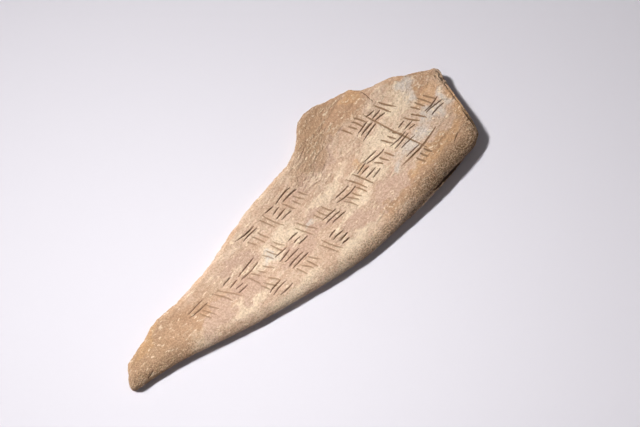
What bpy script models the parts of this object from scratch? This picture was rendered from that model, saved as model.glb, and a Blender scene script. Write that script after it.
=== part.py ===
# Inscribed fragment of an ox shoulder blade, lying with its inscribed face up.
# Units are metres. +X runs from the narrow tip to the sawn end, +Y from the thick
# natural border to the thin broken edge, and +Z up. The origin is on the table,
# under the middle of the box that the bone fills.

import math
import random

import bmesh
import bpy
from mathutils import Matrix, Vector

# Overall size of the fragment
LENGTH = 0.220
WIDTH = 0.0787

# Heights of the inscribed face above the table
TIP_HEIGHT = 0.0062
BORDER_HEIGHT = 0.0078
NECK_HEIGHT = 0.0135
SAWN_HEIGHT = 0.0107
TIP_EDGE_HEIGHT = 0.0040
EDGE_HEIGHT = 0.0054
NECK_EDGE_HEIGHT = 0.0087
HOLLOW_DEPTH = 0.0018

# Thick natural border: its rolled shoulder, and the channel and lip below it
TIP_ROLL = 0.0040
BORDER_ROLL = 0.0066
NECK_ROLL = 0.0100
CHANNEL_DEPTH = 0.0014
LIP_REACH = 0.0023
FOOT_INSET = 0.0016

# Thin broken edge, and the hollow of the underside
BLADE_THICKNESS = 0.0056
BEVEL_WIDTH = 0.0024
BEVEL_DROP = 0.0013
BREAK_INSET = 0.0011
ARCH_HEIGHT = 0.0016

# Sawn end, slightly hollow in plan, where the last saw cut left a lower ledge
SAWN_SAG = 0.0006
LEDGE_WIDTH = 0.0018
LEDGE_DEPTH = 0.0013
LEDGE_WALL = 0.0003

# Inscription
STROKE_WIDTH = 0.0013
STROKE_DEPTH = 0.0007
SIGN_SIZE = 0.0128
LONG_STROKE = 0.037
CRACK_WIDTH = 0.0006
CRACK_DEPTH = 0.0008

# Cutters stand this share of their depth above the face, and strokes in one cutter
# keep this many stroke widths apart
CUTTER_LIFT = 0.15
CLEAR_WIDTHS = 1.6

# How finely the loft is divided, and how its steps crowd towards the tip
STATIONS = 58
ROLL_STEPS = 5
FACE_STEPS = 13
SIDE_STEPS = 12
UNDERSIDE_STEPS = 7
TIP_CROWDING = 1.2
SEEK_STEPS = 6
SHARP_ANGLE = math.radians(35)

# Outlines in plan, as shares of the length from the tip and of the width
BROKEN_EDGE = (
    (0.000, 0.335), (0.014, 0.408), (0.026, 0.451), (0.084, 0.503), (0.127, 0.554),
    (0.197, 0.559), (0.284, 0.598), (0.443, 0.733), (0.585, 0.800), (0.624, 0.850),
    (0.670, 0.985), (0.700, 1.000), (0.740, 0.982), (0.753, 0.960), (0.819, 0.915),
    (0.829, 0.866), (0.837, 0.852), (0.901, 0.814), (0.931, 0.760), (0.994, 0.668),
    (1.000, 0.642),
)
NATURAL_BORDER = (
    (0.000, 0.305), (0.008, 0.290), (0.050, 0.278), (0.118, 0.250), (0.205, 0.190),
    (0.295, 0.130), (0.439, 0.056), (0.559, 0.010), (0.640, 0.010), (0.697, 0.020),
    (0.743, 0.039), (0.830, 0.067), (0.890, 0.082), (0.929, 0.095), (0.948, 0.114),
    (0.959, 0.146), (0.966, 0.194),
)
BORDER_SHARE = NATURAL_BORDER[-1][0]

# Stretches, as shares of the length: the thin end, the rise to the neck, and the
# part of the border that has the channel and the lip
TIP_STRETCH = 0.18
NECK_STRETCH = (0.62, 0.86)
LIP_STRETCH = (0.71, 0.93)

# Proportions of the border's side, as shares of its height
SIDE_SHARE = 0.62
LIP_LEVEL, LIP_SPREAD = 0.78, 0.13
LIP_BLUNTNESS = 0.6
CHANNEL_LEVEL, CHANNEL_SPREAD = 0.98, 0.09

# Proportions of a station, as shares of its width
ROLL_SHARE = 0.32
BEVEL_SHARE = 0.14
INSET_SHARE = 0.08
BREAK_BULGE = 0.4
DROP_SHARE = 0.4
FOOT_SHARE = 0.10
BORDER_LAND = 0.20
ARCH_MIDDLE, ARCH_REACH = 0.54, 0.28
LIFT_START, LIFT_RUN = 0.45, 0.50
LEDGE_FADE = 0.20
FULL_HOLLOW_SHARE = 0.77
SAWN_HOLLOW_SHARE = 0.3

# Rows of signs: first place, last place and number of signs, in the outlines' shares
SIGN_ROWS = (
    ((0.227, 0.394), (0.641, 0.368), 7),
    ((0.691, 0.405), (0.918, 0.502), 5),
    ((0.414, 0.563), (0.541, 0.595), 3),
    ((0.764, 0.673), (0.827, 0.673), 2),
    ((0.377, 0.234), (0.541, 0.203), 3),
    ((0.818, 0.267), (0.818, 0.267), 1),
)
LONG_STROKE_PLACE = (0.815, 0.496)
LONG_STROKE_TURN = math.radians(-73.6)
CRACK_PLACE = (0.828, 0.805)
CRACK_TURN = math.radians(-84)
CRACK_LENGTH = 0.009
NICK_PLACE = (0.907, 0.205)
NICK_TURN = math.radians(27)
NICK_LENGTH = 0.006

# Directions of the strokes, and how much they vary in turn, bend, length and place
ALONG_TURN = math.radians(6)
ACROSS_TURN = math.radians(-62)
TURN_SPREAD = math.radians(8)
BEND_SPREAD = 0.06
REACH_RANGE = (0.72, 1.20)
SIDE_SPREAD, SHIFT_SPREAD = 0.03, 0.08
CARVER_SEED = 3

BONE_COLOUR = (0.56, 0.40, 0.27, 1.0)
BONE_ROUGHNESS = 0.85


def mix(start, end, share):
    return start + (end - start) * share


def ease(share):
    # Goes from 0 to 1 and is level at both ends
    share = min(max(share, 0.0), 1.0)
    return share * share * (3 - 2 * share)


def swell(share, middle, spread):
    # A soft bump of height 1 around the middle
    return math.exp(-((share - middle) / spread) ** 2)


def rail_across(points, along):
    # Straight runs between the outline's points, as a break leaves them
    for (start, low), (end, high) in zip(points, points[1:]):
        if along <= end:
            return mix(low, high, (along - start) / (end - start))
    return points[-1][1]


def smooth_rail_across(points, along):
    # A curve through the points, as the natural border runs
    index = 1
    while index < len(points) - 1 and along > points[index][0]:
        index += 1
    (start, low), (end, high) = points[index - 1], points[index]
    before = points[max(index - 2, 0)]
    after = points[min(index + 1, len(points) - 1)]
    step = end - start
    leave = step * (high - before[1]) / (end - before[0])
    arrive = step * (after[1] - low) / (after[0] - start)
    run = (along - start) / step
    bow = run * (1 - run)
    return mix(low, high, ease(run)) + bow * ((1 - run) * leave - run * arrive)


def in_plan(along, across):
    return Vector((LENGTH * (along - 0.5), WIDTH * (across - 0.5), 0.0))


def station_ends(share):
    # One line across the bone, from the border's side to the broken edge
    border_along = share * BORDER_SHARE
    border = in_plan(border_along, smooth_rail_across(NATURAL_BORDER, border_along))
    edge = in_plan(share, rail_across(BROKEN_EDGE, share))
    return border, edge


def rising(share, at_tip, along_blade, at_neck):
    # A height that grows from the tip, stays level and climbs again to the neck
    start, end = NECK_STRETCH
    blade = mix(at_tip, along_blade, ease(share / TIP_STRETCH))
    return mix(blade, at_neck, ease((share - start) / (end - start)))


def levelling(share):
    # Goes from 0 at the neck to 1 at the sawn end
    start = NECK_STRETCH[1]
    return ease((share - start) / (1 - start))


def crest_height(share):
    # The border's crest sinks again from the neck to the sawn end
    height = rising(share, TIP_HEIGHT, BORDER_HEIGHT, NECK_HEIGHT)
    return mix(height, SAWN_HEIGHT, levelling(share))


def edge_height(share):
    return rising(share, TIP_EDGE_HEIGHT, EDGE_HEIGHT, NECK_EDGE_HEIGHT)


def roll_width(share, width):
    return min(rising(share, TIP_ROLL, BORDER_ROLL, NECK_ROLL), ROLL_SHARE * width)


def hollowing(width):
    # The hollows of both faces grow shallower where the blade is narrow
    return min(1.0, width / (FULL_HOLLOW_SHARE * WIDTH))


def side_height(share):
    # Where the border's side stands out furthest
    return SIDE_SHARE * crest_height(share)


def face_height(share, distance, width):
    # The inscribed face, at a distance from the border's side along a station
    crest = crest_height(share)
    roll = roll_width(share, width)
    if distance < roll:
        side = side_height(share)
        rise = math.sqrt(max(0.0, 1 - (1 - distance / roll) ** 2))
        return mix(side, crest, rise)
    run = (distance - roll) / (width - roll)
    hollow = HOLLOW_DEPTH * hollowing(width) * math.sin(math.pi * run) ** 2
    hollow *= mix(1.0, SAWN_HOLLOW_SHARE, levelling(share))
    return mix(crest, edge_height(share), ease(run)) - hollow


def underside_height(share, distance, width):
    # Flat lands along the border and the edge, with a shallow arch between them
    run = distance / width
    arch = max(0.0, 1 - ((run - ARCH_MIDDLE) / ARCH_REACH) ** 2)
    lift = max(0.0, edge_height(share) - BLADE_THICKNESS)
    lift *= ease((run - LIFT_START) / LIFT_RUN)
    return ARCH_HEIGHT * hollowing(width) * arch + lift


def side_reach(share, level, width):
    # How far the border's side stands out at a level, from 0 at its foot to 1
    start, end = LIP_STRETCH
    run = min(max((share - start) / (end - start), 0.0), 1.0)
    window = math.sin(math.pi * run) ** LIP_BLUNTNESS if 0 < run < 1 else 0.0
    foot = min(FOOT_INSET * crest_height(share) / NECK_HEIGHT, FOOT_SHARE * width)
    reach = -foot * (1 - level) ** 2
    reach += LIP_REACH * window * swell(level, LIP_LEVEL, LIP_SPREAD)
    reach -= CHANNEL_DEPTH * window * swell(level, CHANNEL_LEVEL, CHANNEL_SPREAD)
    return reach


def sawn_sag(share, run):
    # How far a point of the sawn end lies behind the straight line between its corners
    return SAWN_SAG * levelling(share) * max(0.0, 4 * run * (1 - run))


def section(share, lowered=0.0):
    # Closed outline of one station, as distances from the border's side and heights
    border, edge = station_ends(share)
    width = (edge - border).length
    roll = roll_width(share, width)
    bevel = min(BEVEL_WIDTH, BEVEL_SHARE * width)
    inset = min(BREAK_INSET, INSET_SHARE * width)
    outline = []
    for step in range(SIDE_STEPS):
        level = step / SIDE_STEPS
        reach = side_reach(share, level, width)
        outline.append((-reach, level * side_height(share)))
    for step in range(ROLL_STEPS):
        angle = 0.5 * math.pi * step / ROLL_STEPS
        distance = roll * (1 - math.cos(angle))
        drop = lowered * math.sin(angle)
        outline.append((distance, face_height(share, distance, width) - drop))
    for step in range(FACE_STEPS + 1):
        run = step / FACE_STEPS
        distance = mix(roll, width - bevel, run)
        drop = lowered * ease((1 - run) / LEDGE_FADE)
        outline.append((distance, face_height(share, distance, width) - drop))
    top = edge_height(share)
    bottom = underside_height(share, width - inset, width)
    shoulder = top - min(BEVEL_DROP, DROP_SHARE * (top - bottom))
    outline.append((width, shoulder))
    outline.append((width - BREAK_BULGE * inset, mix(shoulder, bottom, 0.5)))
    for step in range(UNDERSIDE_STEPS + 1):
        distance = mix(width - inset, BORDER_LAND * width, step / UNDERSIDE_STEPS)
        outline.append((distance, underside_height(share, distance, width)))
    direction = (edge - border) / width
    return [border + direction * distance
            + Vector((-sawn_sag(share, distance / width), 0, height))
            for distance, height in outline]


def height_at(point):
    # Height of the inscribed face over any point in plan
    across = 0.5
    for _ in range(SEEK_STEPS):
        scale = LENGTH * mix(BORDER_SHARE, 1.0, across)
        share = min(max((point.x + 0.5 * LENGTH) / scale, 0.0), 1.0)
        border, edge = station_ends(share)
        across = (point.y - border.y) / (edge.y - border.y)
    width = (edge - border).length
    return face_height(share, across * width, width)


def station_shares():
    # Stations stand closer near the tip, and the last three form the ledge
    ledge = 1 - LEDGE_WIDTH / LENGTH
    shares = [(ledge * (step / STATIONS) ** TIP_CROWDING, 0.0) for step in range(STATIONS + 1)]
    shares.append((ledge + LEDGE_WALL / LENGTH, LEDGE_DEPTH))
    shares.append((1.0, LEDGE_DEPTH))
    return shares


def new_collection(name):
    collection = bpy.data.collections.new(name)
    bpy.context.scene.collection.children.link(collection)
    return collection


def new_object(name, mesh_maker, collection):
    mesh = bpy.data.meshes.new(name)
    mesh_maker.to_mesh(mesh)
    mesh_maker.free()
    thing = bpy.data.objects.new(name, mesh)
    collection.objects.link(thing)
    return thing


def make_blank(collection):
    # The uncut bone, lofted through its stations
    maker = bmesh.new()
    rings = []
    for share, lowered in station_shares():
        rings.append([maker.verts.new(point) for point in section(share, lowered)])
    for near, far in zip(rings, rings[1:]):
        for index in range(len(near)):
            following = (index + 1) % len(near)
            maker.faces.new((near[index], near[following], far[following], far[index]))
    maker.faces.new(rings[0])
    maker.faces.new(reversed(rings[-1]))
    bmesh.ops.recalc_face_normals(maker, faces=maker.faces)
    return new_object("oracle_bone", maker, collection)


def stroke_point(stroke, along, side=0.0):
    # A point in plan, from a share of the stroke's length and a distance to its side
    place, length, turn, bend = stroke[:4]
    bow = bend * length * (1 - 4 * along * along)
    point = Vector((along * length, side + bow, 0))
    point.rotate(Matrix.Rotation(turn, 3, "Z"))
    return point + place


def add_stroke(maker, stroke):
    # One cut with a V section and pointed ends, laid on the face
    width, depth = stroke[4:]
    lift = CUTTER_LIFT * depth
    made = bmesh.ops.create_uvsphere(maker, u_segments=4, v_segments=4, radius=0.5)
    lay_down = Matrix.Rotation(math.pi / 2, 4, "Y")
    for vert in made["verts"]:
        shape = lay_down @ vert.co
        point = stroke_point(stroke, shape.x, shape.y * width)
        point.z = height_at(point) + lift + shape.z * 2 * (depth + lift)
        vert.co = point


def direction(turn):
    return Vector((math.cos(turn), math.sin(turn), 0))


def stacked_bundles(number):
    # Long strokes along the bone beside short ones across it
    side = (-1) ** number
    yield "along", 2 + number % 2, (0.0, -0.27 * side), 0.19, 0.86
    yield "across", 3 + number // 2 % 2, (0.0, 0.20 * side), 0.24, 0.50


def spread_bundles(number):
    # Short strokes along the bone beside two long ones across it
    side = (-1) ** number
    yield "along", 3 + number % 2, (-0.27 * side, 0.0), 0.22, 0.50
    yield "across", 2, (0.24 * side, 0.0), 0.25, 0.86


SIGN_KINDS = (stacked_bundles, spread_bundles, stacked_bundles)


def bundle_strokes(place, bundle, carver):
    # Parallel strokes of uneven length, side by side; the bundle's sizes are in sign sizes
    family, count, middle, gap, length = bundle
    along, across = direction(ALONG_TURN), direction(ACROSS_TURN)
    centre = place + SIGN_SIZE * (middle[0] * along + middle[1] * across)
    turn, own, other = (ALONG_TURN, along, across)
    if family == "across":
        turn, own, other = (ACROSS_TURN, across, along)
    for step in range(count):
        side = gap * (step - 0.5 * (count - 1)) + carver.uniform(-SIDE_SPREAD, SIDE_SPREAD)
        shift = carver.uniform(-SHIFT_SPREAD, SHIFT_SPREAD)
        reach = SIGN_SIZE * length * carver.uniform(*REACH_RANGE)
        lean = carver.uniform(-TURN_SPREAD, TURN_SPREAD)
        bend = carver.uniform(-BEND_SPREAD, BEND_SPREAD)
        spot = centre + SIGN_SIZE * (side * other + shift * own)
        yield spot, reach, turn + lean, bend, STROKE_WIDTH, STROKE_DEPTH


def sign_places():
    for first, last, count in SIGN_ROWS:
        for step in range(count):
            run = step / (count - 1) if count > 1 else 0.0
            yield in_plan(mix(first[0], last[0], run), mix(first[1], last[1], run))


def sign_strokes():
    carver = random.Random(CARVER_SEED)
    for number, place in enumerate(sign_places()):
        for bundle in SIGN_KINDS[number % len(SIGN_KINDS)](number):
            yield from bundle_strokes(place, bundle, carver)


def single_strokes():
    carved = (0.0, STROKE_WIDTH, STROKE_DEPTH)
    cracked = (0.0, CRACK_WIDTH, CRACK_DEPTH)
    yield in_plan(*LONG_STROKE_PLACE), LONG_STROKE, LONG_STROKE_TURN, *carved
    yield in_plan(*CRACK_PLACE), CRACK_LENGTH, CRACK_TURN, *cracked
    yield in_plan(*NICK_PLACE), NICK_LENGTH, NICK_TURN, *cracked


def make_stroke_cutters(collection):
    # A cutter takes only strokes that stand clear of each other, so crossing strokes
    # are cut in turn
    clear = CLEAR_WIDTHS * STROKE_WIDTH
    makers = []
    for stroke in (*single_strokes(), *sign_strokes()):
        spans = math.ceil(2 * stroke[1] / clear)
        spine = [stroke_point(stroke, step / spans - 0.5) for step in range(spans + 1)]
        for maker, taken in makers:
            if all((here - there).length > clear for here in spine for there in taken):
                break
        else:
            maker, taken = bmesh.new(), []
            makers.append((maker, taken))
        taken.extend(spine)
        add_stroke(maker, stroke)
    return [new_object("strokes_%d" % number, maker, collection)
            for number, (maker, taken) in enumerate(makers, 1)]


def cut(piece, cutters):
    for cutter in cutters:
        cutter.hide_render = True
        cutter.display_type = "WIRE"
        modifier = piece.modifiers.new(cutter.name, "BOOLEAN")
        modifier.object = cutter
        modifier.operation = "DIFFERENCE"
        modifier.solver = "EXACT"


def bone_material():
    material = bpy.data.materials.new("old_bone")
    material.use_nodes = True
    shader = material.node_tree.nodes["Principled BSDF"]
    shader.inputs["Base Color"].default_value = BONE_COLOUR
    shader.inputs["Roughness"].default_value = BONE_ROUGHNESS
    shader.inputs["Metallic"].default_value = 0.0
    return material


def main():
    for thing in list(bpy.data.objects):
        bpy.data.objects.remove(thing, do_unlink=True)
    bone = make_blank(new_collection("oracle_bone"))
    bone.data.materials.append(bone_material())
    bone.data.shade_smooth()
    bone.data.set_sharp_from_angle(angle=SHARP_ANGLE)
    cut(bone, make_stroke_cutters(new_collection("cutters")))


main()
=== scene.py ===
# An oracle bone on a plain pale table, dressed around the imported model.
# Metres, +Z up. The narrow tip points to -X, the thick natural border faces -Y.

import math
import random

import bmesh
import bpy
import numpy as np
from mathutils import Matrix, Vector, noise
from mathutils.bvhtree import BVHTree
from mathutils.kdtree import KDTree


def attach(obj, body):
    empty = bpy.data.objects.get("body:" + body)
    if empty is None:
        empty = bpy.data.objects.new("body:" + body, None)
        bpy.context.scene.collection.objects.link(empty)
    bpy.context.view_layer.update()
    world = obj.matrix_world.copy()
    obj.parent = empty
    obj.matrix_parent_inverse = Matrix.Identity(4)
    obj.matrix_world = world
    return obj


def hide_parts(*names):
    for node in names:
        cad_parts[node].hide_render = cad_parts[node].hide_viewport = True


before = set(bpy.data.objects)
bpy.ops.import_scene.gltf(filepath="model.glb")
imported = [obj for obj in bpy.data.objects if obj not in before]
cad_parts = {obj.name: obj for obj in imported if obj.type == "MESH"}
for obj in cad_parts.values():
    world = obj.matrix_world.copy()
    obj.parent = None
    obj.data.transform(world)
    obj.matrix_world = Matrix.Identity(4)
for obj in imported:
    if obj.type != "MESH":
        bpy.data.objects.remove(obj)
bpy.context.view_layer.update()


# Camera, at the photograph's angle

cameraSettings = {
    "lens": 70.0,
    "azimuth": -41.2,
    "elevation": 70.0,
    "distance": 0.615,
    "lookAt": (0.0148, -0.0060, 0.0),
}


def directionFrom(settings):
    # Unit vector from the table towards a camera or a light at these angles, from -Y
    turn, rise = math.radians(settings["azimuth"]), math.radians(settings["elevation"])
    return Vector((
        math.sin(turn) * math.cos(rise),
        -math.cos(turn) * math.cos(rise),
        math.sin(rise),
    ))


def placeTowards(item, aim, back, distance):
    # Puts a camera or a light at that distance from the aim, looking at it
    item.location = Vector(aim) + back * distance
    item.rotation_euler = (-back).to_track_quat("-Z", "Y").to_euler()


def addCamera(settings):
    camera = bpy.data.objects.new("camera", bpy.data.cameras.new("camera"))
    bpy.context.scene.collection.objects.link(camera)
    camera.data.lens = settings["lens"]
    placeTowards(camera, settings["lookAt"], directionFrom(settings), settings["distance"])
    bpy.context.scene.camera = camera


addCamera(cameraSettings)
bpy.context.scene.view_settings.view_transform = "Standard"
print("camera placed")


# Shader maths as plain expressions

class Wire:
    # One output socket, with the operators that the materials use
    def __init__(self, board, socket):
        self.board = board
        self.socket = socket

    def maths(self, operation, first, second):
        return self.board.node("ShaderNodeMath", {"operation": operation},
                               {0: first, 1: second})

    def __add__(self, other):
        return self.maths("ADD", self, other)

    __radd__ = __add__

    def __sub__(self, other):
        return self.maths("SUBTRACT", self, other)

    def __rsub__(self, other):
        return self.maths("SUBTRACT", other, self)

    def __mul__(self, other):
        return self.maths("MULTIPLY", self, other)

    __rmul__ = __mul__


class Board:
    # One material and the nodes on it
    def __init__(self, name):
        self.material = bpy.data.materials.new(name)
        self.material.use_nodes = True
        self.tree = self.material.node_tree
        self.tree.nodes.clear()

    def node(self, kind, settings, sockets, output=0):
        made = self.tree.nodes.new(kind)
        for name, value in settings.items():
            setattr(made, name, value)
        for name, value in sockets.items():
            if isinstance(value, Wire):
                self.tree.links.new(value.socket, made.inputs[name])
            else:
                made.inputs[name].default_value = value
        return Wire(self, made.outputs[output]) if made.outputs else made

    def attribute(self, name, output="Fac"):
        return self.node("ShaderNodeAttribute", {"attribute_name": name}, {}, output)

    def noise(self, place, scale, detail, roughness):
        return self.node("ShaderNodeTexNoise", {}, {
            "Vector": place, "Scale": scale, "Detail": detail, "Roughness": roughness})

    def stretched(self, place, along):
        return self.node("ShaderNodeMapping", {}, {
            "Vector": place, "Scale": (along, 1.0, 1.0)})

    def between(self, value, low, high):
        # Goes smoothly from 0 to 1 as the value passes from low to high
        return self.node("ShaderNodeMapRange", {"interpolation_type": "SMOOTHSTEP"}, {
            "Value": value, "From Min": low, "From Max": high})

    def blend(self, share, first, second, mode="MIX"):
        return self.node("ShaderNodeMix", {"data_type": "RGBA", "blend_type": mode}, {
            0: share, 6: first, 7: second}, 2)

    def surface(self, sockets):
        shader = self.node("ShaderNodeBsdfPrincipled", {}, sockets)
        self.node("ShaderNodeOutputMaterial", {}, {"Surface": shader})


# Bone: places are in shares of the solid's length and width, and sizes in metres

boneSettings = {
    "length": 0.220,
    "width": 0.0787,
    "mergeGap": 1e-6,
    "grid": 0.00062,
    # Cuts across the bone and along it: width, depth, flatness of the bottom
    "acrossCut": (0.0012, 0.00045, 2.2),
    "alongCut": (0.0009, 0.00065, 1.2),
    "alongTurn": math.radians(6),
    "acrossTurn": math.radians(-62),
    "turnSpread": math.radians(8),
    "bendSpread": 0.06,
    "reachRange": (0.72, 1.20),
    "sideSpread": 0.03,
    "shiftSpread": 0.08,
    "carverSeed": 3,
    "taperPower": 0.4,
    # A sign's two bundles of strokes, in shares of its size: direction, middle, gap, length
    "signSize": 0.0128,
    "sideBySide": (
        ("along", (-0.27, 0.0), 0.22, 0.50),
        ("across", (0.24, 0.0), 0.25, 0.86),
    ),
    "stacked": (
        ("along", (0.0, -0.27), 0.19, 0.86),
        ("across", (0.0, 0.20), 0.24, 0.50),
    ),
    # Rows of signs: first place, last place, number of signs
    "signRows": (
        ((0.227, 0.394), (0.641, 0.368), 7),
        ((0.691, 0.405), (0.918, 0.502), 5),
        ((0.414, 0.563), (0.541, 0.595), 3),
        ((0.764, 0.673), (0.827, 0.673), 2),
        ((0.377, 0.234), (0.541, 0.203), 3),
        ((0.818, 0.267), (0.818, 0.267), 1),
    ),
    # Long strokes and soft cracks cut like the strokes across: place, length, turn, bend
    "longStrokes": (
        ((0.815, 0.496), 0.037, math.radians(-73.6), 0.0),
        ((0.828, 0.316), 0.028, math.radians(9), -0.05),
    ),
    # Sharp cracks: place, length, turn, width and depth
    "cracks": (
        ((0.828, 0.805), 0.009, math.radians(-84), 0.0006, 0.0008),
        ((0.907, 0.205), 0.006, math.radians(27), 0.0006, 0.0008),
        ((0.050, 0.300), 0.0045, math.radians(14), 0.0008, 0.0008),
        # The next two cracks, just inside the sawn end and under the neck's roll, stand in for
        # shaded lines there and take the painted shade of the strokes along the bone
        ((0.961, 0.250), 0.0105, math.radians(82), 0.0009, 0.0007),
        ((0.842, 0.064), 0.024, math.radians(7.5), 0.0016, 0.0011),
    ),
    # Fibres: their turn, the place that they turn about, and how they climb over the lobe
    "fibreTurn": math.radians(5),
    "fibrePivot": 0.04,
    "climb": 0.014,
    "climbAlong": (-0.02, 0.06),
    "climbAcross": (-0.015, 0.035),
    # Upward part of the normal on the outline, on the strokes, on the face and below
    "steepTilt": 0.35,
    "sawnTilt": 0.85,
    "strokeTilt": 0.2,
    "fineTilt": 0.3,
    "faceTilt": 0.8,
    "topTilt": -0.5,
    "rimTilt": 0.1,
    # Bands along the edges and above the table that keep the solid's form
    "firmEdge": 0.0030,
    "firmFoot": 0.0008,
    # Room around a stroke that is smoothed, and that gets a finer grid
    "smoothRoom": 0.0009,
    "fineRoom": 0.0004,
    # Band along the sawn end that gets a finer grid and the solid's own surface
    "sawnBand": 0.0026,
    "snapReach": 0.0006,
    # Passes of smoothing: under the strokes, on the face and all over
    "strokePasses": 30,
    "facePasses": 20,
    "topPasses": 3,
}


def inPlan(along, across):
    return Vector((
        boneSettings["length"] * (along - 0.5),
        boneSettings["width"] * (across - 0.5),
        0.0,
    ))


def ease(value):
    value = np.clip(value, 0.0, 1.0)
    return value * value * (3 - 2 * value)


def smoothStep(values, low, high):
    return ease((values - low) / (high - low))


def goingFrom(low, high, share):
    return low + (high - low) * share


# Signs: rows of plain strokes that stand for the inscription

def signBundles(settings, number):
    # The two bundles of a sign: direction, number of strokes, middle, gap and length
    side = (-1) ** number
    if number % 3 == 1:
        bundles, counts = settings["sideBySide"], (3 + number % 2, 2)
    else:
        bundles, counts = settings["stacked"], (2 + number % 2, 3 + number // 2 % 2)
    for count, (family, middle, gap, length) in zip(counts, bundles):
        yield family, count, (middle[0] * side, middle[1] * side), gap, length


def bundleStrokes(settings, place, bundle, carver):
    family, count, middle, gap, length = bundle
    size = settings["signSize"]
    turns = {name: settings[name + "Turn"] for name in ("along", "across")}
    ways = {name: Vector((math.cos(turn), math.sin(turn), 0)) for name, turn in turns.items()}
    centre = place + size * (middle[0] * ways["along"] + middle[1] * ways["across"])
    other = "across" if family == "along" else "along"
    for step in range(count):
        side = gap * (step - 0.5 * (count - 1))
        side += carver.uniform(-settings["sideSpread"], settings["sideSpread"])
        shift = carver.uniform(-settings["shiftSpread"], settings["shiftSpread"])
        reach = size * length * carver.uniform(*settings["reachRange"])
        turn = turns[family] + carver.uniform(-settings["turnSpread"], settings["turnSpread"])
        bend = carver.uniform(-settings["bendSpread"], settings["bendSpread"])
        spot = centre + size * (side * ways[other] + shift * ways[family])
        yield spot, reach, turn, bend, *settings[family + "Cut"], float(family == "along")


def carvedStrokes(settings):
    # Every stroke: place, length, turn, bend, width, depth, flatness, and 1 if it runs along
    carver = random.Random(settings["carverSeed"])
    places = []
    for first, last, count in settings["signRows"]:
        for step in range(count):
            run = step / (count - 1) if count > 1 else 0.0
            places.append(inPlan(*first).lerp(inPlan(*last), run))
    for number, place in enumerate(places):
        for bundle in signBundles(settings, number):
            yield from bundleStrokes(settings, place, bundle, carver)
    for place, length, turn, bend in settings["longStrokes"]:
        yield inPlan(*place), length, turn, bend, *settings["acrossCut"], 0.0
    for place, length, turn, width, depth in settings["cracks"]:
        # Cracks count as strokes along the bone, so they take the same painted shade
        yield inPlan(*place), length, turn, 0.0, width, depth, 1.0, 1.0


def strokeShares(points, stroke, grow=0.0):
    # How deep each point lies in a stroke, from 0 at its rim to 1 at its bottom
    place, length, turn, bend, width = stroke[:5]
    x = points[:, 0] - place.x
    y = points[:, 1] - place.y
    along = (x * math.cos(turn) + y * math.sin(turn)) / (length + 2 * grow)
    side = y * math.cos(turn) - x * math.sin(turn) - bend * length * (1 - 4 * along * along)
    taper = np.clip(1 - 4 * along * along, 0.0, 1.0) ** boneSettings["taperPower"]
    half = (0.5 * width) * taper + grow + 1e-9
    return np.clip(1 - np.abs(side) / half, 0.0, 1.0) * (np.abs(along) < 0.5)


def inStrokes(places, strokes, grow):
    share = np.zeros(len(places))
    for stroke in strokes:
        share = np.maximum(share, strokeShares(places, stroke, grow))
    return share > 0


# Mesh of the bone, read and shaped as arrays of places and normals

def vertexPlaces(shape):
    return np.array([vert.co for vert in shape.verts])


def vertexNormals(shape):
    shape.normal_update()
    return np.array([vert.normal for vert in shape.verts])


def chosen(shape, mask):
    return [vert for vert, taken in zip(shape.verts, mask) if taken]


def mergedCopy(node, gap):
    # The CAD node's mesh with its loose triangles joined
    shape = bmesh.new()
    shape.from_mesh(node.data)
    bmesh.ops.remove_doubles(shape, verts=shape.verts, dist=gap)
    return shape


def evenGridOf(solid, grid):
    # The solid laid on an even grid
    mesh = bpy.data.meshes.new("boneGrid")
    solid.to_mesh(mesh)
    holder = bpy.data.objects.new("boneGrid", mesh)
    bpy.context.scene.collection.objects.link(holder)
    remesh = holder.modifiers.new("grid", "REMESH")
    remesh.mode = "VOXEL"
    remesh.voxel_size = grid
    even = holder.evaluated_get(bpy.context.evaluated_depsgraph_get())
    shape = bmesh.new()
    shape.from_mesh(even.to_mesh())
    even.to_mesh_clear()
    bpy.data.objects.remove(holder)
    return shape


def smoothPart(shape, mask, times, onlyHeight=False):
    verts = chosen(shape, mask)
    for _ in range(times):
        bmesh.ops.smooth_vert(shape, verts=verts, factor=0.5, use_axis_x=not onlyHeight,
                              use_axis_y=not onlyHeight, use_axis_z=True)


def distancesTo(places, marks):
    # Distance in plan from each place to the nearest mark
    tree = KDTree(len(marks))
    for index, mark in enumerate(marks):
        tree.insert((mark[0], mark[1], 0.0), index)
    tree.balance()
    return np.array([tree.find((place[0], place[1], 0.0))[2] for place in places])


def outlineDistances(shape, settings):
    # Distances in plan to the natural border, the broken edge and the sawn end
    places, normals = vertexPlaces(shape), vertexNormals(shape)
    steep = np.abs(normals[:, 2]) < settings["steepTilt"]
    sawn = steep & (normals[:, 0] > settings["sawnTilt"])
    border = steep & ~sawn & (normals[:, 1] < 0)
    broken = steep & ~sawn & (normals[:, 1] >= 0)
    return [distancesTo(places, places[mask]) for mask in (border, broken, sawn)]


def splitNear(shape, mask):
    # Halves the grid on the masked vertices
    edges = {edge for vert in chosen(shape, mask) for edge in vert.link_edges}
    bmesh.ops.subdivide_edges(shape, edges=list(edges), cuts=1, use_grid_fill=True)


def snapTo(solid, shape, mask, reach):
    # Brings vertices back to the solid's surface, so that its sawn edges stay crisp
    surface = BVHTree.FromBMesh(solid)
    for vert in chosen(shape, mask):
        near = surface.find_nearest(vert.co, reach)[0]
        if near is not None:
            vert.co = near


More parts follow.
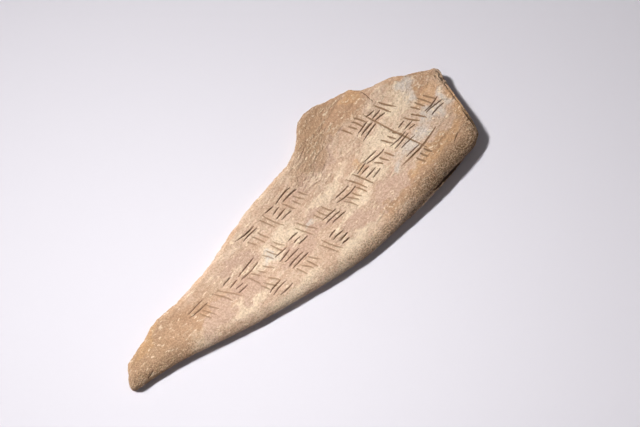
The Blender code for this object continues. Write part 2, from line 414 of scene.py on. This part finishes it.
def preparedShape(node, settings, strokes):
    # The solid on a fine grid without its facets, and how far each vertex is from each edge
    solid = mergedCopy(node, settings["mergeGap"])
    shape = evenGridOf(solid, settings["grid"])
    print("bone grid", len(shape.verts))
    places, normals = vertexPlaces(shape), vertexNormals(shape)
    border, broken, sawn = outlineDistances(shape, settings)
    upward = normals[:, 2]
    carved = (upward > settings["strokeTilt"]) & inStrokes(
        places, strokes, settings["smoothRoom"])
    smoothPart(shape, carved, settings["strokePasses"], onlyHeight=True)
    edge = settings["firmEdge"]
    loose = (sawn >= edge) & (broken >= edge) & (places[:, 2] >= settings["firmFoot"])
    face = loose & (border > edge) & (upward > settings["faceTilt"])
    smoothPart(shape, face, settings["facePasses"])
    smoothPart(shape, loose & (upward > settings["topTilt"]), settings["topPasses"])
    print("facets smoothed")

    sawn = outlineDistances(shape, settings)[2]
    places, upward = vertexPlaces(shape), vertexNormals(shape)[:, 2]
    fine = (upward > settings["fineTilt"]) & inStrokes(places, strokes, settings["fineRoom"])
    fine |= (sawn < settings["sawnBand"]) & (upward > settings["topTilt"])
    splitNear(shape, fine)
    edges = outlineDistances(shape, settings)
    snapTo(solid, shape, edges[2] < settings["sawnBand"], settings["snapReach"])
    solid.free()
    print("grid refined", len(shape.verts))
    return shape, edges


# Wear: how the surface is flaked, rippled, grained and chipped, with depths in metres

wearSettings = {
    # Noise along the fibres: stretch, size, octaves and offset
    "fibreNoises": {
        "scales": (3.2, 0.0042, 4, 1.7),
        "ripple": (5.0, 0.0013, 3, 0.0),
    },
    # Noise along the bone, with the same four numbers
    "noises": {
        "grains": (1.3, 0.0016, 2, 3.1),
        "lumps": (1.5, 0.0050, 3, 4.4),
        "hollows": (1.0, 0.014, 3, 5.7),
        "crumbs": (1.0, 0.0035, 4, 9.2),
        "warpAlong": (1.0, 0.009, 4, 0.0),
        "warpAcross": (1.0, 0.009, 4, 7.3),
    },
    # How far the rims of the colour spots are warped
    "warpReach": 0.005,
    # Where each part begins and where it is full: along the bone, or from an edge
    "tipRange": (-0.075, -0.105),
    "thickRange": (-0.03, 0.05),
    "rollRange": (0.0085, 0.0015),
    "sawnRange": (0.0016, 0.0040),
    "rimRange": (0.0032, 0.0010),
    "chipReach": 0.0028,
    "chipRange": (0.004, 0.012),
    # The same by the upward part of the normal
    "facingRange": (-0.3, 0.0),
    "shoulderRange": (-0.1, 0.3),
    "carvedRange": (0.3, 0.6),
    # The same by the noise of the scales
    "flakeRange": (-0.10, -0.02),
    # How much of the wear the thin half has, and how coarse the tip and brown spots are
    "thinShare": 0.35,
    "tipCoarse": 0.12,
    "brownCoarse": 0.15,
    "brownGain": 4,
    # How much less the roll flakes, and how worn the smooth plates are
    "rollCalm": 0.6,
    "plateShare": 0.35,
    # Depths, the ripple's share between flakes, and lifts: what is added to a noise before
    # its low parts are cut off
    "hollowDepth": 0.00010,
    "flakeDepth": 0.00018,
    "rippleDepth": 0.00010,
    "rippleShare": 0.4,
    "lumpDepth": 0.00024,
    "lumpLift": 0.25,
    "lumpTop": 1.2,
    "grainDepth": 0.00004,
    "coarseDepth": 0.00018,
    "grainLift": 0.1,
    "chipDepth": 0.0005,
    "chipLift": 0.35,
    # Just above the table this share of the depth is left out
    "footHeight": 0.0003,
    "footCalm": 0.8,
    # How far the sides of a stroke wander
    "strokeWander": 0.00012,
    # How dark the strokes are: least, most, and between which places along the bone. The dark of
    # the strokes along the bone is soil and painted shade
    "acrossShade": (0.5, 1.0, 0.02, 0.07),
    "alongShade": (0.55, 0.95, -0.05, 0.04),
}

boneMarks = {
    # Spots of colour: place in shares, radii in metres along and across, turn in degrees
    "chalk": (
        (0.910, 0.678, 0.009, 0.006, 30),
        (0.955, 0.483, 0.005, 0.005, 0),
        (0.917, 0.435, 0.009, 0.005, -40),
        (0.888, 0.414, 0.008, 0.005, 20),
        (0.854, 0.385, 0.010, 0.006, 10),
        (0.815, 0.350, 0.011, 0.005, 10),
        (0.770, 0.325, 0.006, 0.004, 10),
        (0.520, 0.400, 0.005, 0.003, 0),
        (0.400, 0.390, 0.006, 0.004, 0),
    ),
    "cream": (
        (0.770, 0.500, 0.018, 0.010, 10),
        (0.720, 0.390, 0.014, 0.005, 25),
        (0.655, 0.330, 0.014, 0.005, 20),
        (0.600, 0.270, 0.012, 0.004, 20),
        (0.640, 0.510, 0.020, 0.005, 22),
        (0.540, 0.456, 0.016, 0.004, 15),
        (0.470, 0.445, 0.012, 0.005, 10),
        (0.400, 0.400, 0.014, 0.007, 0),
        (0.860, 0.640, 0.016, 0.010, 30),
        # The next four spots lie on the rolled natural border: pale bone, and also painted light
        # that lightens the roll where its rounding shades it
        (0.305, 0.245, 0.018, 0.006, 6),
        (0.205, 0.262, 0.016, 0.008, 12),
        (0.400, 0.110, 0.024, 0.006, 8),
        (0.545, 0.070, 0.030, 0.006, 12),
    ),
    "tan": (
        (0.060, 0.370, 0.060, 0.026, 0),
        (0.990, 0.260, 0.013, 0.030, 0),
        (0.880, 0.160, 0.034, 0.012, 8),
        (0.740, 0.880, 0.034, 0.015, 5),
        (0.930, 0.700, 0.018, 0.010, 0),
        (0.750, 0.140, 0.030, 0.008, 5),
    ),
    "plate": (
        (0.659, 0.670, 0.020, 0.0055, 22),
        (0.575, 0.595, 0.014, 0.0045, 18),
        (0.717, 0.227, 0.018, 0.007, 10),
        (0.620, 0.200, 0.014, 0.006, 5),
        (0.520, 0.330, 0.014, 0.006, 5),
        (0.463, 0.300, 0.014, 0.006, 5),
        (0.530, 0.420, 0.008, 0.004, 0),
        (0.333, 0.335, 0.012, 0.007, 0),
        (0.274, 0.354, 0.012, 0.007, 0),
        (0.222, 0.274, 0.012, 0.006, 0),
        (0.345, 0.499, 0.014, 0.006, 10),
    ),
    "rust": (
        (0.799, 0.867, 0.010, 0.004, 0),
        (0.700, 0.470, 0.006, 0.004, 0),
        (0.105, 0.530, 0.020, 0.006, 38),
        (0.985, 0.340, 0.012, 0.014, 0),
        (0.925, 0.560, 0.016, 0.008, 10),
        (0.860, 0.230, 0.026, 0.007, 8),
    ),
    "brown": (
        (0.667, 0.930, 0.024, 0.012, 30),
        (0.640, 0.760, 0.022, 0.009, 30),
        (0.660, 0.690, 0.016, 0.004, 24),
        (0.030, 0.400, 0.038, 0.026, 0),
        (0.870, 0.100, 0.034, 0.009, 8),
        (0.975, 0.200, 0.012, 0.014, 0),
    ),
}


def noiseAt(places, layer):
    # Layered noise at each place, about -1 to 1, with features of that size
    stretch, size, octaves, offset = layer
    shift = Vector((offset, 2 * offset, -offset))
    return np.array([
        noise.fractal(Vector(place) / size + shift, 1.0, 2.0, octaves)
        for place in places / np.array((stretch, 1.0, 1.0))
    ])


def wearNoises(places, fibres, wear):
    # Every noise of the wear, by its name
    noises = {name: noiseAt(places, layer) for name, layer in wear["noises"].items()}
    for name, layer in wear["fibreNoises"].items():
        noises[name] = noiseAt(fibres, layer)
    return noises


def fibrePlaces(places, settings):
    # Place along the fibres, across them and in height; they climb over the lobe
    turn = settings["fibreTurn"]
    x, y = places[:, 0] - settings["fibrePivot"], places[:, 1]
    climb = settings["climb"] * smoothStep(places[:, 0], *settings["climbAlong"])
    climb *= smoothStep(y, *settings["climbAcross"])
    along = x * math.cos(turn) + y * math.sin(turn)
    across = y * math.cos(turn) - x * math.sin(turn) - climb
    return np.stack((along, across, places[:, 2]), axis=1)


def patches(places, spots):
    # How far each place is inside the nearest of the spots, from 0 at a rim to 1 in a middle
    shade = np.zeros(len(places))
    for along, across, reach, breadth, turn in spots:
        centre = inPlan(along, across)
        x = places[:, 0] - centre.x
        y = places[:, 1] - centre.y
        turned = math.radians(turn)
        u = (x * math.cos(turned) + y * math.sin(turned)) / reach
        v = (y * math.cos(turned) - x * math.sin(turned)) / breadth
        shade = np.maximum(shade, 1 - np.sqrt(u * u + v * v))
    return np.clip(shade, 0.0, 1.0)


def markSpots(places, marks, noises, reach):
    # The spots of each colour, with uneven rims
    warp = np.stack((noises["warpAlong"], noises["warpAcross"]), axis=1)
    warped = places[:, :2] + warp * reach
    return {name: patches(warped, spots) for name, spots in marks.items()}


def wornDepth(places, normals, edges, noises, spots, wear):
    # How deep the wear goes at each vertex, and how coarse, worn and flaked it is there
    border, broken, sawn = edges
    x, upward = places[:, 0], normals[:, 2]
    facing = smoothStep(upward, *wear["facingRange"])
    roll = smoothStep(border, *wear["rollRange"])
    thick = goingFrom(wear["thinShare"], 1.0, smoothStep(x, *wear["thickRange"]))
    coarse = roll * thick + wear["tipCoarse"] * smoothStep(x, *wear["tipRange"])
    coarse += wear["brownCoarse"] * ease(wear["brownGain"] * spots["brown"])
    coarse = np.clip(coarse, 0.0, 1.0)
    scales = noises["scales"] - spots["plate"]
    flaked = smoothStep(scales, *wear["flakeRange"]) * (1 - wear["rollCalm"] * roll) * facing

    depth = wear["hollowDepth"] * (1 + noises["hollows"])
    depth += wear["flakeDepth"] * flaked
    ripple = np.abs(noises["ripple"])
    depth += wear["rippleDepth"] * ripple * (wear["rippleShare"] + flaked) * facing
    lumps = np.clip(noises["lumps"] + wear["lumpLift"], 0, wear["lumpTop"])
    depth += wear["lumpDepth"] * roll * smoothStep(upward, *wear["shoulderRange"]) * lumps
    grains = np.clip(noises["grains"] + wear["grainLift"], 0, 1)
    depth += (wear["grainDepth"] + wear["coarseDepth"] * coarse * facing) * grains
    chipped = ease(1 - broken / wear["chipReach"]) * smoothStep(sawn, *wear["chipRange"])
    crumbs = np.clip(noises["crumbs"] + wear["chipLift"], 0, 1)
    depth += wear["chipDepth"] * chipped * crumbs
    depth *= smoothStep(sawn, *wear["sawnRange"])
    depth *= 1 - wear["footCalm"] * (places[:, 2] < wear["footHeight"])
    worn = thick * goingFrom(wear["plateShare"], 1.0, flaked)
    return depth, {"coarse": coarse, "worn": worn, "flaked": flaked}


def carvedDepth(places, wander, strokes):
    # Depth of the strokes at each vertex, and how dark those across and those along the bone are
    # painted; those along get soil and painted shade
    unsteady = places.copy()
    unsteady[:, :2] += wander
    depth, across, along = np.zeros((3, len(places)))
    for *stroke, cut, flatness, isAlong in strokes:
        share = np.minimum(strokeShares(unsteady, stroke) * flatness, 1.0)
        depth = np.maximum(depth, cut * share)
        across = np.maximum(across, share * (1 - isAlong))
        along = np.maximum(along, share * isAlong)
    return depth, across, along


def shadeAlong(x, least, most, low, high):
    return goingFrom(least, most, smoothStep(x, low, high))


def weatheredBone(node, settings, wear, marks):
    # The bone as one mesh, with its worn surface, its strokes and its colour marks
    strokes = list(carvedStrokes(settings))
    shape, edges = preparedShape(node, settings, strokes)
    places, normals = vertexPlaces(shape), vertexNormals(shape)
    fibres = fibrePlaces(places, settings)
    noises = wearNoises(places, fibres, wear)
    spots = markSpots(places, marks, noises, wear["warpReach"])
    depth, saved = wornDepth(places, normals, edges, noises, spots, wear)
    places -= normals * depth[:, None]
    wander = np.stack((noises["crumbs"], noises["grains"]), axis=1) * wear["strokeWander"]
    carve, across, along = carvedDepth(places, wander, strokes)
    top = smoothStep(normals[:, 2], *wear["carvedRange"])
    places[:, 2] = np.maximum(places[:, 2] - carve * top, 0.0)
    for vert, place in zip(shape.verts, places):
        vert.co = place
    print("surface worn and strokes cut")

    mesh = bpy.data.meshes.new("oracleBone")
    bmesh.ops.recalc_face_normals(shape, faces=shape.faces)
    shape.to_mesh(mesh)
    shape.free()
    mesh.shade_smooth()
    x = places[:, 0]
    saved["across"] = across * top * shadeAlong(x, *wear["acrossShade"])
    # Strokes and cracks along the bone: soil and painted shade
    saved["along"] = along * top * shadeAlong(x, *wear["alongShade"])
    saved["edgeBand"] = smoothStep(edges[1], *wear["rimRange"]) * (
        normals[:, 2] > settings["rimTilt"])
    for name, values in {**saved, **spots}.items():
        layer = mesh.attributes.new(name, "FLOAT", "POINT")
        layer.data.foreach_set("value", values.astype(np.float32))
    layer = mesh.attributes.new("fibre", "FLOAT_VECTOR", "POINT")
    layer.data.foreach_set("vector", fibres.astype(np.float32).ravel())
    bone = bpy.data.objects.new("oracleBone", mesh)
    bpy.context.scene.collection.objects.link(bone)
    return bone


# Finish: the bone's colours, and the patterns and layers that spread them

boneFinish = {
    "colours": {
        "sand": (0.61, 0.42, 0.305, 1),
        "deepSand": (0.56, 0.375, 0.265, 1),
        "paleSand": (0.71, 0.54, 0.41, 1),
        "cream": (0.79, 0.64, 0.48, 1),
        "chalk": (0.68, 0.61, 0.55, 1),
        "tan": (0.495, 0.295, 0.175, 1),
        "plate": (0.565, 0.385, 0.29, 1),
        "brown": (0.44, 0.275, 0.165, 1),
        "earth": (0.40, 0.235, 0.13, 1),
        "soot": (0.22, 0.11, 0.05, 1),
        "rust": (0.60, 0.35, 0.17, 1),
        "fleck": (0.87, 0.70, 0.51, 1),
        "gold": (0.86, 0.60, 0.38, 1),
        "groove": (0.30, 0.175, 0.095, 1),
        # Soil and painted shade for the strokes and cracks along the bone
        "cutSoilAndShade": (0.125, 0.060, 0.027, 1),
        "grainDark": (0.86, 0.81, 0.76, 1),
        "grainLight": (1.13, 1.13, 1.12, 1),
    },
    # Noise: stretch along the fibres (none in the plain ones), scale, detail, roughness
    "patterns": {
        "clouds": (None, 70.0, 4.0, 0.5),
        "mottle": (None, 420.0, 5.0, 0.65),
        "speckle": (None, 1000.0, 3.0, 0.7),
        "threads": (0.22, 1000.0, 4.0, 0.65),
        "streaks": (0.14, 260.0, 4.0, 0.6),
        "chips": (0.45, 640.0, 2.0, 0.6),
        "blotches": (0.45, 280.0, 3.0, 0.5),
        "gravel": (0.8, 1450.0, 2.0, 0.6),
    },
    # Where each layer of colour begins to show, where it is full, and its share there
    "layers": {
        "deepSand": (0.38, 0.64, 1.0),
        "paleStreaks": (0.47, 0.60, 0.35),
        "paleBlotches": (0.48, 0.62, 0.35),
        "tan": (0.02, 0.50, 0.85),
        "cream": (0.12, 0.80, 0.85),
        "chalk": (0.05, 0.80, 0.80),
        "plate": (0.10, 0.30, 0.95),
        "brown": (0.0, 0.75, 0.75),
        "earth": (0.25, 0.80, 0.32),
        "rust": (0.20, 0.50, 0.50),
        "rustEdge": (0.42, 0.58, 0.22),
        "tone": (0.36, 0.64, 1.0),
        "chips": (0.59, 0.66, 0.85),
        "chipPatches": (0.46, 0.58, 1.0),
        "pits": (0.46, 0.39, 1.0),
        "lint": (0.53, 0.60, 1.0),
        "soot": (0.45, 0.37, 0.70),
        "gold": (0.51, 0.60, 0.85),
        "groove": (0.03, 0.70, 0.95),
        "cutSoilAndShade": (0.10, 0.50, 0.95),
    },
    # How ragged the rims of the stains are
    "ragged": {
        "tan": 0.6, "cream": 1.3, "chalk": 1.6, "plate": 0.4, "brown": 0.8, "rust": 1.0,
        "earth": 1.6,
    },
    "mottleWobble": 0.5,
    "streakWobble": 0.7,
    "flakedPale": 0.30,
    "flakedCream": 0.12,
    "flakedChips": 0.1,
    "coarseEarth": 0.7,
    # Pits and lint: shares of threads, speckle and gravel in them, then their own share
    # on smooth bone and what worn bone adds
    "pits": (0.5, 0.2, 0.3, 0.15, 0.35),
    "lint": (0.6, 0.0, 0.4, 0.10, 0.50),
    # Relief of each pattern: all over, added on worn bone, and added on coarse bone
    "relief": {
        "speckle": (0.35, 0.4, 1.0),
        "threads": (0.5, 1.0, 0.0),
        "mottle": (0.3, 0.0, 0.4),
        "gravel": (0.2, 0.3, 4.0),
    },
    "reliefDepth": 0.0009,
    "roughness": 0.85,
    # What whole plates and whole chalk take off the roughness, over their shares above
    "plateGloss": 0.15 / 0.95,
    "chalkGloss": 0.05 / 0.80,
    "specular": 0.3,
}


def boneMaterial(finish):
    board = Board("weatheredBone")
    colours = finish["colours"]
    place = board.node("ShaderNodeTexCoord", {}, {}, "Object")
    fibre = board.attribute("fibre", "Vector")
    patterns = {}
    for name, (stretch, scale, detail, roughness) in finish["patterns"].items():
        where = board.stretched(fibre, stretch) if stretch else place
        patterns[name] = board.noise(where, scale, detail, roughness)
    mottle, streaks = patterns["mottle"], patterns["streaks"]
    coarse, worn, flaked = (board.attribute(name) for name in ("coarse", "worn", "flaked"))
    wobble = (mottle - 0.5) * finish["mottleWobble"] + (streaks - 0.5) * finish["streakWobble"]

    def layer(name, value):
        # How much of a layer shows by that value
        low, high, share = finish["layers"][name]
        return board.between(value, low, high) * share

    def stain(name, value):
        # A layer with a ragged rim
        return layer(name, value + wobble * finish["ragged"][name])

    def scattered(name):
        # A layer in three mixed patterns, denser on worn bone
        threads, speckle, gravel, smoothShare, wornShare = finish[name]
        value = patterns["threads"] * threads + patterns["speckle"] * speckle
        value = value + patterns["gravel"] * gravel
        return layer(name, value) * (worn * wornShare + smoothShare)

    # Sand, paler where it is flaked or streaked
    colour = board.blend(layer("deepSand", patterns["clouds"]), colours["sand"],
                         colours["deepSand"])
    pale = flaked * finish["flakedPale"] + layer("paleStreaks", streaks)
    pale = pale + layer("paleBlotches", patterns["blotches"])
    colour = board.blend(pale, colour, colours["paleSand"])

    # Stains and patches, one over the other; the cream on the rolled border is also painted
    # light
    cream = board.attribute("cream") + flaked * finish["flakedCream"]
    chalk = stain("chalk", board.attribute("chalk"))
    plate = stain("plate", board.attribute("plate")) * (1 - flaked)
    rustEdge = board.attribute("edgeBand") * layer("rustEdge", patterns["clouds"])
    for name, share in (
        ("tan", stain("tan", board.attribute("tan"))),
        ("cream", stain("cream", cream)),
        ("chalk", chalk),
        ("plate", plate),
        ("brown", stain("brown", board.attribute("brown"))),
        ("earth", stain("earth", coarse * finish["coarseEarth"])),
        ("rust", stain("rust", board.attribute("rust")) + rustEdge),
    ):
        colour = board.blend(share, colour, colours[name])

    # Fine grain, the soil in the strokes, and painted shade in the strokes and cracks along the
    # bone
    tone = board.blend(layer("tone", patterns["speckle"]), colours["grainDark"],
                       colours["grainLight"])
    colour = board.blend(1.0, colour, tone, "MULTIPLY")
    chipPatches = layer("chipPatches", mottle + flaked * finish["flakedChips"])
    for name, share in (
        ("fleck", layer("chips", patterns["chips"]) * chipPatches),
        ("earth", scattered("pits")),
        ("fleck", scattered("lint")),
        ("soot", layer("soot", patterns["gravel"]) * coarse),
        ("gold", layer("gold", patterns["gravel"]) * coarse),
        ("groove", layer("groove", board.attribute("across"))),
        # Strokes and cracks along the bone get soil and painted shade
        ("cutSoilAndShade", layer("cutSoilAndShade", board.attribute("along"))),
    ):
        colour = board.blend(share, colour, colours[name])

    height = 0.0
    for name, (everywhere, wornMore, coarseMore) in finish["relief"].items():
        strength = worn * wornMore + coarse * coarseMore + everywhere
        height = patterns[name] * strength + height
    bump = board.node("ShaderNodeBump", {}, {
        "Height": height, "Strength": 1.0, "Distance": finish["reliefDepth"]}, "Normal")
    roughness = finish["roughness"] - plate * finish["plateGloss"] - chalk * finish["chalkGloss"]
    board.surface({"Base Color": colour, "Roughness": roughness, "Normal": bump,
                   "Specular IOR Level": finish["specular"]})
    return board.material


bone = weatheredBone(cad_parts["oracle_bone"], boneSettings, wearSettings, boneMarks)
bone.data.materials.append(boneMaterial(boneFinish))
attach(bone, "root")
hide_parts("oracle_bone")
print("bone dressed", len(bone.data.polygons))


# Table top: plain, pale and matt

tableSettings = {
    "reach": 6.0,
    "colour": (0.715, 0.690, 0.738, 1),
    "roughness": 0.8,
    "specular": 0.2,
}


def addTable(settings):
    shape = bmesh.new()
    bmesh.ops.create_grid(shape, x_segments=1, y_segments=1, size=settings["reach"])
    mesh = bpy.data.meshes.new("tableTop")
    shape.to_mesh(mesh)
    shape.free()
    board = Board("tableTop")
    board.surface({"Base Color": settings["colour"], "Roughness": settings["roughness"],
                   "Specular IOR Level": settings["specular"]})
    mesh.materials.append(board.material)
    table = bpy.data.objects.new("tableTop", mesh)
    bpy.context.scene.collection.objects.link(table)


addTable(tableSettings)
print("table placed")


# Light: two softboxes in one line, the near one with a grid, in a pale room

softboxSettings = {
    "aim": (-0.0433, -0.0398, 0.0),
    "azimuth": 219.0,
    "elevation": 52.0,
    # Name, distance, size, spread in radians and power in watts
    "boxes": (
        ("nearBox", 1.477, 0.16, math.radians(28), 0.485),
        ("farBox", 5.0, 0.54, math.pi, 128.0),
    ),
}
roomSettings = {"colour": (1.0, 0.96, 0.98, 1), "strength": 0.14}


def addSoftboxes(settings):
    for name, distance, size, spread, power in settings["boxes"]:
        box = bpy.data.objects.new(name, bpy.data.lights.new(name, "AREA"))
        bpy.context.scene.collection.objects.link(box)
        placeTowards(box, settings["aim"], directionFrom(settings), distance)
        box.visible_camera = False
        box.data.shape = "DISK"
        box.data.size = size
        box.data.spread = spread
        box.data.energy = power


def addRoom(settings):
    world = bpy.data.worlds.new("room")
    world.use_nodes = True
    backdrop = world.node_tree.nodes["Background"]
    backdrop.inputs["Color"].default_value = settings["colour"]
    backdrop.inputs["Strength"].default_value = settings["strength"]
    bpy.context.scene.world = world


addSoftboxes(softboxSettings)
addRoom(roomSettings)
print("light set")
